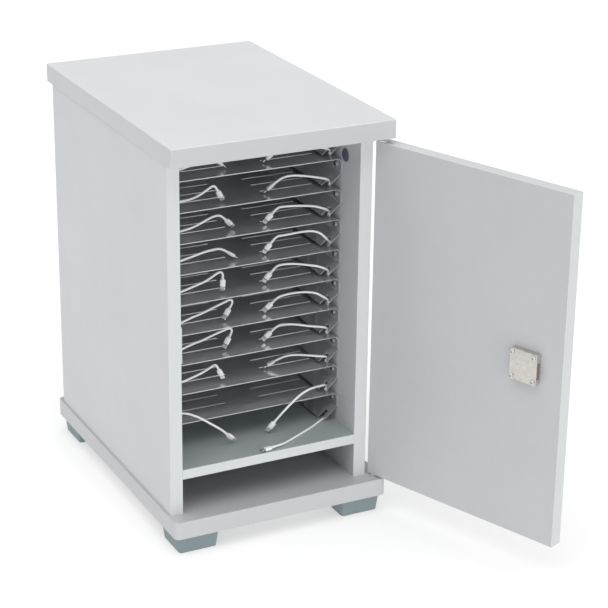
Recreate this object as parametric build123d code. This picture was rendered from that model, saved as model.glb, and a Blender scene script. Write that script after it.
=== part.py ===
from build123d import *
import math
import os

os.makedirs("parts", exist_ok=True)

# ---------------------------------------------------------------------------
# Phone charging cabinet: a laminated-board carcass with a pivot-hung door,
# sheet-metal shelves, a USB hub behind each side and a short lead per phone.
# Drawn in a frame whose Z axis runs up through the centre of the top panel,
# then shifted by (OX, OY) so that the row's origin is the bottom centre of the
# object with its door standing open.
# ---------------------------------------------------------------------------

# overall carcass (mm)
W = 315.0            # top and base panel width
D = 443.0            # top and base panel depth
H = 563.0            # height over the feet
T_TOP = 25.0         # top panel thickness
T_BASE = 25.0        # base panel thickness
T_SIDE = 18.0        # side panel thickness
T_LOW = 14.0         # lower shelf board thickness
T_BACK = 16.0        # back panel thickness
FOOT_H = 25.0        # foot height
FOOT_W = 60.0        # foot width at the top
FOOT_IN = 6.0        # foot inset from the panel edge
FOOT_TAPER = 3.0     # foot draft per side

XL = -154.5          # left side panel, outer face
XR = 136.5           # right side panel, outer face
YF = -198.0          # front edges of the side panels
YB = 206.5           # rear edges of the side panels
Z_BASE = FOOT_H + T_BASE            # 50, top of the base panel
Z_CEIL = H - T_TOP                  # 538, underside of the top panel
XLI = XL + T_SIDE                   # -136.5, left inner wall
XRI = XR - T_SIDE                   # 118.5, right inner wall
XC = (XLI + XRI) / 2                # -9, centre plane of the compartment
YBI = YB - T_BACK                   # 190.5, inner face of the back panel
Z_LOW = 114.0                       # top of the lower shelf board

# sheet-metal shelves
N_SHELF = 10
PITCH = 42.4
Z_SHELF1 = 536.6                    # top surface of the highest shelf
T_SHEET = 1.2
SH_F = -146.2                       # shelf front edge
SH_B = 84.0                         # shelf rear edge
FL_V = 20.6                         # vertical part of the flange
FL_X = 97.5                         # inner lower end of the slanted part
FL_Z = 39.6                         # depth of the flange
BEND_R = 5.0                        # outer radius of the deck-to-wall bend
NOTCH_F = -140.0
NOTCH_B = -131.0
SCREW_Y = -132.4
SCREW_DZ = -10.5

# door
DOOR_W = 311.5
DOOR_T = 19.0
DOOR_X1 = 156.0                     # hinge-side end, closed
DOOR_YI = -199.3                    # inner face, closed
DOOR_Z0 = 52.0
DOOR_Z1 = 530.4
PIV_X = 147.8
PIV_Y = -204.5
DOOR_OPEN = 111.0                   # degrees open at rest
PIN_R = 2.5
BUSH_RI = 2.55
BUSH_RO = 3.5

# lock (positions along the closed door)
LOCK_S = 42.6
LOCK_T = 9.8
LOCK_X = DOOR_X1 - 257.0            # -101
LOCK_Z = 292.6
BOLT_L = 32.0
BOLT_TRAVEL = 21.0
BOLT_Z0, BOLT_Z1 = -11.5, 8.5       # relative to the lock centre
BARREL_R = 9.0
PLUG_R = 6.0

# leads
LEAD_D = 3.0
LEAD_SECTION = math.pi * (LEAD_D / 2) ** 2

# origin shift, found from the box over everything but the leads
OX = -55.82
OY = 133.89
OZ = 0.0


def box(x0, x1, y0, y1, z0, z1):
    return Pos((x0 + x1) / 2, (y0 + y1) / 2, (z0 + z1) / 2) * Box(x1 - x0, y1 - y0, z1 - z0)


def cyl_z(x, y, z0, z1, r):
    return Pos(x, y, (z0 + z1) / 2) * Cylinder(r, z1 - z0)


def cyl_y(x, z, y0, y1, r):
    return Pos(x, (y0 + y1) / 2, z) * Rot(90, 0, 0) * Cylinder(r, y1 - y0)


def cyl_x(y, z, x0, x1, r):
    return Pos((x0 + x1) / 2, y, z) * Rot(33, 0, 0) * Rot(0, 90, 0) * Cylinder(r, x1 - x0)


def edges_at(solid, axis, **near):
    """Edges parallel to an axis, optionally near given coordinates."""
    es = solid.edges().filter_by(axis)
    for k, v in near.items():
        es = es.filter_by(lambda e, k=k, v=v: abs(getattr(e.center(), k) - v) < 1e-3)
    return es


SHAPES = {}


def put(name, *solids):
    """Record one node, made of one or more separate solids."""
    SHAPES[name] = list(solids)


# ---------------------------------------------------------------- carcass
CAM_Y = (-156.7, 150.0)
CAM_TOP = 502.0
CAM_BOT = Z_BASE + 36.0
CAM_R, CAM_D = 7.5, 12.5
SIDE_MID_L = XL + T_SIDE / 2
SIDE_MID_R = XR - T_SIDE / 2

top = box(-W / 2, W / 2, -D / 2, D / 2, Z_CEIL, H)
top = fillet(edges_at(top, Axis.Z), 3.0)
top = fillet(top.faces().sort_by(Axis.Z)[-1].edges(), 1.2)
top = fillet(top.faces().sort_by(Axis.Z)[0].edges(), 0.8)
base = box(-W / 2, W / 2, -D / 2, D / 2, FOOT_H, Z_BASE)
base = fillet(edges_at(base, Axis.Z), 8.0)
base = fillet(base.faces().sort_by(Axis.Z)[-1].edges(), 1.2)
base = fillet(base.faces().sort_by(Axis.Z)[0].edges(), 0.8)
left = box(XL, XLI, YF, YB, Z_BASE, Z_CEIL)
right = box(XRI, XR, YF, YB, Z_BASE, Z_CEIL)
left = fillet(edges_at(left, Axis.Z), 0.7)
right = fillet(edges_at(right, Axis.Z), 0.7)

fittings = []
caps = []
for y in CAM_Y:
    for side, mid, xin, sgn in ((0, SIDE_MID_L, XLI, 1), (1, SIDE_MID_R, XRI, -1)):
        for zc, zpanel, up in ((CAM_TOP, Z_CEIL, 1), (CAM_BOT, Z_BASE, -1)):
            x_deep = xin - sgn * CAM_D
            a, b = sorted((x_deep, xin))
            pocket = cyl_x(y, zc, a - 0.0, b, CAM_R)
            z_a, z_b = sorted((zc, zpanel))
            bore = cyl_z(mid, y, z_a, z_b, 3.2)
            if side == 0:
                left = left - pocket - bore
            else:
                right = right - pocket - bore
            z_c, z_d = sorted((zpanel, zpanel + up * 12.0))
            hole = cyl_z(mid, y, z_c, z_d, 2.5)
            if up > 0:
                top = top - hole
            else:
                base = base - hole
            # cam housing with a screwdriver cross, and its dowel screwed into the panel
            a2, b2 = sorted((x_deep + sgn * 0.3, xin - sgn * 0.6))
            cam = cyl_x(y, zc, a2, b2, CAM_R - 0.2)
            cam = cam - box(xin - sgn * 0.6 - 1.6, xin - sgn * 0.6 + 1.6, y - 4.5, y + 4.5, zc - 0.9, zc + 0.9)
            cam = cam - box(xin - sgn * 0.6 - 1.6, xin - sgn * 0.6 + 1.6, y - 0.9, y + 0.9, zc - 4.5, zc + 4.5)
            z_e, z_f = sorted((zc + up * (CAM_R - 0.4), zpanel))
            dowel = cyl_z(mid, y, z_e, z_f, 2.9) + cyl_z(mid, y, z_c, z_d, 2.4)
            fittings.append(cam + dowel)
            # plastic cover cap
            c0, c1 = sorted((xin, xin + sgn * 1.2))
            cap = cyl_x(y, zc, c0, c1, 9.0)
            cap = fillet(cap.faces().sort_by(Axis.X)[-1 if sgn > 0 else 0].edges(), 0.8)
            caps.append(cap)
put("cam_fittings", *fittings)
put("cam_caps", *caps)

# back panel between the sides, with vent slots and the inlet cut-out
INLET_X, INLET_Z = -95.0, 84.0
back = box(XLI, XRI, YBI, YB, Z_BASE, Z_CEIL)
for row_z in (150.0, 430.0):
    for i in range(9):
        x = XC - 64.0 + 16.0 * i
        slot = box(x - 1.7, x + 1.7, YBI - 1, YB + 1, row_z, row_z + 60.0)
        slot = fillet(slot.edges().filter_by(Axis.Y), 1.6)
        back = back - slot
back = back - box(INLET_X - 14.0, INLET_X + 14.0, YBI - 1, YB + 1, INLET_Z - 10.5, INLET_Z + 10.5)
for s in (-1, 1):
    back = back - cyl_y(INLET_X + s * 20.0, INLET_Z, YBI - 1.0, YB + 1, 1.75)

# lower shelf board
low = box(XLI, XRI, YF, YBI, Z_LOW - T_LOW, Z_LOW)
low = fillet(low.edges().filter_by(Axis.X).filter_by(lambda e: e.center().Y < YF + 1), 0.6)
low = low - box(XC - 30, XC + 30, YBI - 26, YBI + 1, Z_LOW - T_LOW - 1, Z_LOW + 1)

# wooden dowels that locate the lower shelf and the back panel in the sides
dowels = []
DW = 4.0
for y in (-120.0, 120.0):
    for xin, sgn in ((XLI, 1), (XRI, -1)):
        a, b = sorted((xin - sgn * 11.0, xin + sgn * 18.0))
        d = cyl_x(y, Z_LOW - T_LOW / 2, a, b, DW)
        dowels.append(d)
        low = low - d
        if sgn > 0:
            left = left - d
        else:
            right = right - d
for z in (110.0, 294.0, 478.0):
    for xin, sgn in ((XLI, 1), (XRI, -1)):
        a, b = sorted((xin - sgn * 11.0, xin + sgn * 18.0))
        d = cyl_x((YBI + YB) / 2, z, a, b, DW)
        dowels.append(d)
        back = back - d
        if sgn > 0:
            left = left - d
        else:
            right = right - d
put("wooden_dowels", *dowels)

# feet: tapered plastic blocks, each with two counterbored screws
feet = []
foot_screws = []
for sx in (-1, 1):
    for sy in (-1, 1):
        cx = sx * (W / 2 - FOOT_IN - FOOT_W / 2)
        cy = sy * (D / 2 - FOOT_IN - FOOT_W / 2)
        lower = Plane.XY * Pos(cx, cy, 0) * RectangleRounded(FOOT_W - 2 * FOOT_TAPER, FOOT_W - 2 * FOOT_TAPER, 4.0)
        upper = Plane.XY * Pos(cx, cy, FOOT_H) * RectangleRounded(FOOT_W, FOOT_W, 5.0)
        foot = loft([lower, upper])
        for s in (-1, 1):
            foot = foot - cyl_z(cx + s * 14.0, cy, -1, 15.0, 5.0)
            foot = foot - cyl_z(cx + s * 14.0, cy, 14.0, FOOT_H + 1, 2.2)
            head = cyl_z(cx + s * 14.0, cy, 12.4, 15.0, 4.0)
            head = head - box(cx + s * 14.0 - 2.6, cx + s * 14.0 + 2.6, cy - 0.5, cy + 0.5, 12.0, 13.6)
            head = head - box(cx + s * 14.0 - 0.5, cx + s * 14.0 + 0.5, cy - 2.6, cy + 2.6, 12.0, 13.6)
            shank = cyl_z(cx + s * 14.0, cy, 15.0, 40.0, 2.0)
            foot_screws.append(head + shank)
            base = base - cyl_z(cx + s * 14.0, cy, FOOT_H - 1, 40.5, 2.0)
        feet.append(foot)
put("feet", *feet)
put("foot_screws", *foot_screws)

# pivot pins pressed into the top and the base
pin_top = cyl_z(PIV_X, PIV_Y, 518.0, 552.0, PIN_R)
pin_bot = cyl_z(PIV_X, PIV_Y, 36.0, 64.0, PIN_R)
pin_top = chamfer(pin_top.faces().sort_by(Axis.Z)[0].edges(), 0.6)
pin_bot = chamfer(pin_bot.faces().sort_by(Axis.Z)[-1].edges(), 0.6)
top = top - cyl_z(PIV_X, PIV_Y, Z_CEIL - 1, 552.0, PIN_R)
base = base - cyl_z(PIV_X, PIV_Y, 36.0, Z_BASE + 1, PIN_R)
put("pivot_pins", pin_top, pin_bot)

# strike plate on the left inner wall, with the pocket behind it
BZ0, BZ1 = LOCK_Z + BOLT_Z0, LOCK_Z + BOLT_Z1
BOLT_YC = DOOR_YI + 5.8
BOLT_Y0, BOLT_Y1 = BOLT_YC - 2.5, BOLT_YC + 2.5
left = left - box(XLI - 8.0, XLI + 1, BOLT_Y0 - 0.6, BOLT_Y1 + 0.8, BZ0 - 1.0, BZ1 + 1.0)
strike = box(XLI, XLI + 1.2, YF + 0.3, -178.0, LOCK_Z - 27.0, LOCK_Z + 24.0)
strike = fillet(strike.edges().filter_by(Axis.X), 2.0)
strike = strike - box(XLI - 1, XLI + 2, BOLT_Y0 - 0.6, BOLT_Y1 + 0.8, BZ0 - 1.0, BZ1 + 1.0)
s_screws = []
for z in (LOCK_Z - 20.5, LOCK_Z + 17.5):
    ys = -184.0
    strike = strike - cyl_x(ys, z, XLI - 1, XLI + 2, 1.75)
    left = left - cyl_x(ys, z, XLI - 12.5, XLI + 1, 1.5)
    sc = cyl_x(ys, z, XLI - 12.0, XLI + 1.2, 1.5) + cyl_x(ys, z, XLI + 1.2, XLI + 2.6, 3.2)
    sc = fillet(sc.faces().sort_by(Axis.X)[-1].edges(), 0.9)
    sc = sc - box(XLI + 1.9, XLI + 3, ys - 1.8, ys + 1.8, z - 0.35, z + 0.35)
    sc = sc - box(XLI + 1.9, XLI + 3, ys - 0.35, ys + 0.35, z - 1.8, z + 1.8)
    s_screws.append(sc)
put("strike_plate", strike)
put("strike_screws", *s_screws)

# ---------------------------------------------------------------- sheet-metal shelves
SLOT_W = 2.8
SLOT_Y0 = -110.0
SLOT_PITCH = 28.0
N_SLOT = 7


def shelf(z0):
    """One shelf: flat deck, a flange down each wall, then a slant inwards that
    forms the lead duct. The slant is notched at the front for the lead."""
    plate = box(XLI + BEND_R, XRI - BEND_R, SH_F, SH_B, z0 - T_SHEET, z0)
    solid = plate
    for sgn in (1, -1):
        xw = XRI if sgn > 0 else XLI

        def px(x):
            return x if sgn > 0 else 2 * XC - x

        t = T_SHEET
        slope = math.atan2(FL_Z - FL_V, XRI - FL_X)
        nx, nz = math.sin(slope) * t, math.cos(slope) * t
        # outer bend as a small arc from the deck to the wall flange
        r_o = BEND_R
        pts = [(XRI - r_o, z0)]
        for k in range(1, 7):
            a = math.radians(90 - 15 * k)
            pts.append((XRI - r_o + r_o * math.cos(a), z0 - r_o + r_o * math.sin(a)))
        pts.append((XRI, z0 - FL_V))
        pts.append((FL_X, z0 - FL_Z))
        pts.append((FL_X - nx * 0.0 - t * math.sin(slope), z0 - FL_Z + t * math.cos(slope)))
        # inner side, back up
        k_in = (t * (1 + math.cos(slope))) / math.sin(slope)
        pts.append((XRI - t, z0 - FL_V + t * math.tan(slope / 2) * 0.0 + (t / math.cos(slope) - t * math.tan(slope))))
        r_i = r_o - t
        for k in range(0, 7):
            a = math.radians(15 * k)
            pts.append((XRI - r_o + r_i * math.cos(a), z0 - r_o + r_i * math.sin(a)))
        poly = Polyline(*[(px(x), SH_F, z) for x, z in pts], close=True)
        prof = make_face(poly)
        wall = extrude(prof, amount=SH_B - SH_F, dir=(0, 1, 0))
        # shorter front tab
        x_a, x_b = sorted((px(FL_X - 3), px(100.9)))
        wall = wall - box(x_a, x_b, SH_F - 1, NOTCH_F + 0.01, z0 - FL_Z - 3, z0 - FL_V)
        # notch for the lead, open at the lower edge
        x_a, x_b = sorted((px(FL_X - 3), px(109.0)))
        wall = wall - box(x_a, x_b, NOTCH_F, NOTCH_B, z0 - FL_Z - 3, z0 - FL_V)
        # hole of the wall screw
        a, b = sorted((xw, xw - sgn * 3))
        wall = wall - cyl_x(SCREW_Y, z0 + SCREW_DZ, a, b, 1.75)
        wall = wall - cyl_x(SH_B - 20.0, z0 + SCREW_DZ, a, b, 1.75)
        solid = solid + wall
    # slits across the deck, three near the front and more behind
    for k in range(N_SLOT):
        yc = SLOT_Y0 + SLOT_PITCH * k
        for x0, x1 in ((16.0, 92.5), (-110.5, -34.0)):
            solid = solid - box(x0, x1, yc - SLOT_W / 2, yc + SLOT_W / 2, z0 - 3, z0 + 1)
    return solid


shelf_screws = []
for i in range(N_SHELF):
    z0 = Z_SHELF1 - PITCH * i
    put("charging_shelf_%02d" % (i + 1), shelf(z0))
    for xw, sgn in ((XRI, -1), (XLI, 1)):
        for ys in (SCREW_Y, SH_B - 20.0):
            zc = z0 + SCREW_DZ
            xf = xw + sgn * T_SHEET
            a, b = sorted((xw - sgn * 12.0, xf))
            shank = cyl_x(ys, zc, a, b, 1.5)
            a, b = sorted((xf, xf + sgn * 2.0))
            head = cyl_x(ys, zc, a, b, 3.8)
            head = fillet(head.faces().sort_by(Axis.X)[0 if sgn < 0 else -1].edges(), 0.9)
            s = head + shank
            a, b = sorted((xf + sgn * 0.9, xf + sgn * 3))
            s = s - box(a, b, ys - 2.1, ys + 2.1, zc - 0.55, zc + 0.55)
            s = s - box(a, b, ys - 0.55, ys + 0.55, zc - 2.1, zc + 2.1)
            shelf_screws.append(s)
            a, b = sorted((xw - sgn * 12.5, xw + sgn * 1.0))
            hole = cyl_x(ys, zc, a, b, 1.5)
            if sgn < 0:
                right = right - hole
            else:
                left = left - hole
put("shelf_screws", *shelf_screws)

put("top_panel", top)
put("base_panel", base)
put("left_side_panel", left)
put("right_side_panel", right)
put("back_panel", back)
put("lower_shelf", low)

# ---------------------------------------------------------------- power parts
# surface level that each lead lies on
LEVELS = [Z_SHELF1 - PITCH * (i + 1) for i in range(N_SHELF - 1)] + [Z_LOW]
DUCT_X = 113.5
HUB_Y0, HUB_Y1 = 107.0, 135.0


def px_side(side, x):
    return x if side == "right" else 2 * XC - x


for side in ("right", "left"):
    a, b = sorted((px_side(side, 98.0), px_side(side, XRI)))
    hub = box(a, b, HUB_Y0, HUB_Y1, Z_LOW + 0.0, 522.0)
    hub = fillet(hub.edges().filter_by(Axis.Z).filter_by(lambda e: abs(e.center().X - px_side(side, 98.0)) < 0.1), 2.5)
    cables = []
    for z1 in LEVELS:
        zp = z1 + 4.0
        xp = px_side(side, 110.5)
        # port cut in the hub, and the plug that fills it
        hub = hub - box(xp - 6.2, xp + 6.2, HUB_Y0 - 1, HUB_Y0 + 12.0, zp - 2.4, zp + 2.4)
        body = box(xp - 7.5, xp + 7.5, 87.0, HUB_Y0, zp - 3.75, zp + 3.75)
        body = fillet(body.edges().filter_by(Axis.Y), 1.5)
        blade = box(xp - 6.0, xp + 6.0, HUB_Y0 - 0.5, HUB_Y0 + 11.5, zp - 2.25, zp + 2.25)
        xd = px_side(side, DUCT_X)
        route = [(xp, 88.0, zp), (xp, 76.0, zp), ((xp + xd) / 2, 58.0, z1 + 1.8), (xd, 34.0, z1 + 1.7), (xd, -112.5, z1 + 1.7)]
        path = FilletPolyline(*route, radius=[12.0, 30.0, 30.0])
        tube = sweep(Plane(path @ 0, z_dir=path % 0) * Circle(LEAD_D / 2), path=path)
        cables.append(body + blade + tube)
    put("usb_hub_" + side, hub)
    put("harness_" + side, *cables)

psu = box(-60.0, 60.0, 110.0, 175.0, Z_BASE, Z_BASE + 34.0)
psu = fillet(psu.edges().filter_by(Axis.Z), 4.0)
psu = fillet(psu.faces().sort_by(Axis.Z)[-1].edges(), 1.5)
for s in (-1, 1):
    tab = box(s * 60.0 - 8, s * 60.0 + 8, 130.0, 155.0, Z_BASE, Z_BASE + 3.0)
    psu = psu + tab
    psu = psu - cyl_z(s * 64.5, 142.5, Z_BASE - 1, Z_BASE + 4, 2.0)
put("power_supply", psu)

inlet = box(INLET_X - 13.8, INLET_X + 13.8, YBI + 0.5, YB, INLET_Z - 10.3, INLET_Z + 10.3)
flange = box(INLET_X - 25.0, INLET_X + 25.0, YB, YB + 2.5, INLET_Z - 12.0, INLET_Z + 12.0)
flange = fillet(flange.edges().filter_by(Axis.Y), 5.0)
inlet = inlet + flange
inlet = inlet - box(INLET_X - 12.0, INLET_X + 12.0, YBI + 3.0, YB + 5, INLET_Z - 8.2, INLET_Z + 8.2)
for dx, dz in ((-7.0, -3.0), (7.0, -3.0), (0.0, 3.6)):
    inlet = inlet + box(INLET_X + dx - 1.0, INLET_X + dx + 1.0, YBI + 2.0, YB - 3.5, INLET_Z + dz - 2.0, INLET_Z + dz + 2.0)
for s in (-1, 1):
    inlet = inlet - cyl_y(INLET_X + s * 20.0, INLET_Z, YB - 1, YB + 4, 1.75)
put("power_inlet", inlet)

# ---------------------------------------------------------------- door (closed, then swung open)
SWING = Pos(PIV_X, PIV_Y, 0) * Rot(0, 0, DOOR_OPEN) * Pos(-PIV_X, -PIV_Y, 0)
DOOR_X0 = DOOR_X1 - DOOR_W
DOOR_YO = DOOR_YI - DOOR_T

door = box(DOOR_X0, DOOR_X1, DOOR_YO, DOOR_YI, DOOR_Z0, DOOR_Z1)
door = fillet(door.edges(), 0.8)
bushes = []
for z_in, z_out, up in ((DOOR_Z0 + 14.0, DOOR_Z0, -1), (DOOR_Z1 - 14.0, DOOR_Z1, 1)):
    a, b = sorted((z_in, z_out + up * 1))
    door = door - cyl_z(PIV_X, PIV_Y, a, b, BUSH_RO)
    a, b = sorted((z_in, z_out))
    bush = cyl_z(PIV_X, PIV_Y, a, b, BUSH_RO)
    c, d = sorted((z_out, z_out + up * 1.7))
    bush = bush + cyl_z(PIV_X, PIV_Y, c, d, 4.8)
    bush = bush - cyl_z(PIV_X, PIV_Y, min(a, c) - 1, max(b, d) + 1, BUSH_RI)
    bushes.append(bush)
# lock hole and screw pilots
door = door - cyl_y(LOCK_X, LOCK_Z, DOOR_YO - 1, DOOR_YI + 1, BARREL_R)

# lock case: open towards the door, a window for the bolt in the side that faces the free edge
LX0, LX1 = LOCK_X - LOCK_S / 2, LOCK_X + LOCK_S / 2
LZ0, LZ1 = LOCK_Z - LOCK_S / 2, LOCK_Z + LOCK_S / 2
LY1 = DOOR_YI + LOCK_T
case = box(LX0, LX1, DOOR_YI, LY1, LZ0, LZ1)
case = fillet(case.edges().filter_by(Axis.Y), 3.0)
case = fillet(case.faces().sort_by(Axis.Y)[-1].edges(), 1.0)
cavity = box(LX0 + 1.6, LX1 - 1.6, DOOR_YI + 0.8, LY1 - 1.2, LZ0 + 1.6, LZ1 - 1.6)
lock_screw_pts = []
for sx in (-1, 1):
    for sz in (-1, 1):
        x, z = LOCK_X + sx * 16.5, LOCK_Z + sz * 16.5
        lock_screw_pts.append((x, z))
        cavity = cavity - box(x - 3.4 if sx < 0 else x - 2.9, x + 2.9 if sx < 0 else x + 3.4, DOOR_YI, LY1, z - 3.4 if sz < 0 else z - 2.9, z + 2.9 if sz < 0 else z + 3.4)
case = case - cavity
case = case - box(LX0 - 1, LX0 + 3.0, BOLT_Y0 - 0.35, BOLT_Y1 + 0.35, LOCK_Z - 12.2, LOCK_Z + 9.2)
# barrel through the door
case = case + cyl_y(LOCK_X, LOCK_Z, DOOR_YO - 1.2, DOOR_YI + 0.8, BARREL_R - 0.1)
case = case - cyl_y(LOCK_X, LOCK_Z, DOOR_YO - 3, DOOR_YI + 1.2, PLUG_R + 0.06)
l_screws = []
for x, z in lock_screw_pts:
    case = case - cyl_y(x, z, DOOR_YI - 1, LY1 + 1, 1.6)
    door = door - cyl_y(x, z, DOOR_YI - 9.0, DOOR_YI + 1, 1.5)
    sc = cyl_y(x, z, DOOR_YI - 8.5, LY1, 1.5) + cyl_y(x, z, LY1, LY1 + 1.9, 3.4)
    sc = fillet(sc.faces().sort_by(Axis.Y)[-1].edges(), 0.8)
    sc = sc - box(x - 1.9, x + 1.9, LY1 + 0.6, LY1 + 3, z - 0.7, z + 0.7)
    sc = sc - box(x - 0.7, x + 0.7, LY1 + 0.6, LY1 + 3, z - 1.9, z + 1.9)
    l_screws.append(sc)

# bolt, drawn back inside the case
BX0 = LX0 + 0.4
bolt = box(BX0, BX0 + BOLT_L, BOLT_Y0, BOLT_Y1, BZ0, BZ1)
bolt = fillet(bolt.edges().filter_by(Axis.Z).filter_by(lambda e: e.center().X < BX0 + 1), 0.8)

# cylinder plug with keyway and its driving disc
plug = cyl_y(LOCK_X, LOCK_Z, DOOR_YO - 2.2, DOOR_YI + 1.2, PLUG_R)
plug = plug + cyl_y(LOCK_X, LOCK_Z, DOOR_YI + 1.3 - 0.1, DOOR_YI + 2.9, 10.5)
plug = plug - box(LOCK_X - 0.7, LOCK_X + 0.7, DOOR_YO - 4, DOOR_YO + 14.0, LOCK_Z - 4.0, LOCK_Z + 4.0)
plug = plug - cyl_y(LOCK_X, LOCK_Z, DOOR_YO - 4, DOOR_YO - 1.6, 3.2)
rosette = cyl_y(LOCK_X, LOCK_Z, DOOR_YO - 2.2, DOOR_YO, 13.0)
rosette = fillet(rosette.faces().sort_by(Axis.Y)[0].edges(), 1.0)
rosette = rosette - cyl_y(LOCK_X, LOCK_Z, DOOR_YO - 1.3, DOOR_YO + 1, BARREL_R)
rosette = rosette - cyl_y(LOCK_X, LOCK_Z, DOOR_YO - 3, DOOR_YO + 1, PLUG_R + 0.5)

for name, solids in (
    ("door_panel", [door]),
    ("pivot_bushes", bushes),
    ("lock_case", [case]),
    ("lock_screws", l_screws),
    ("lock_bolt", [bolt]),
    ("lock_cylinder", [plug]),
    ("lock_rosette", [rosette]),
):
    put(name, *[SWING * s for s in solids])

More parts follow.
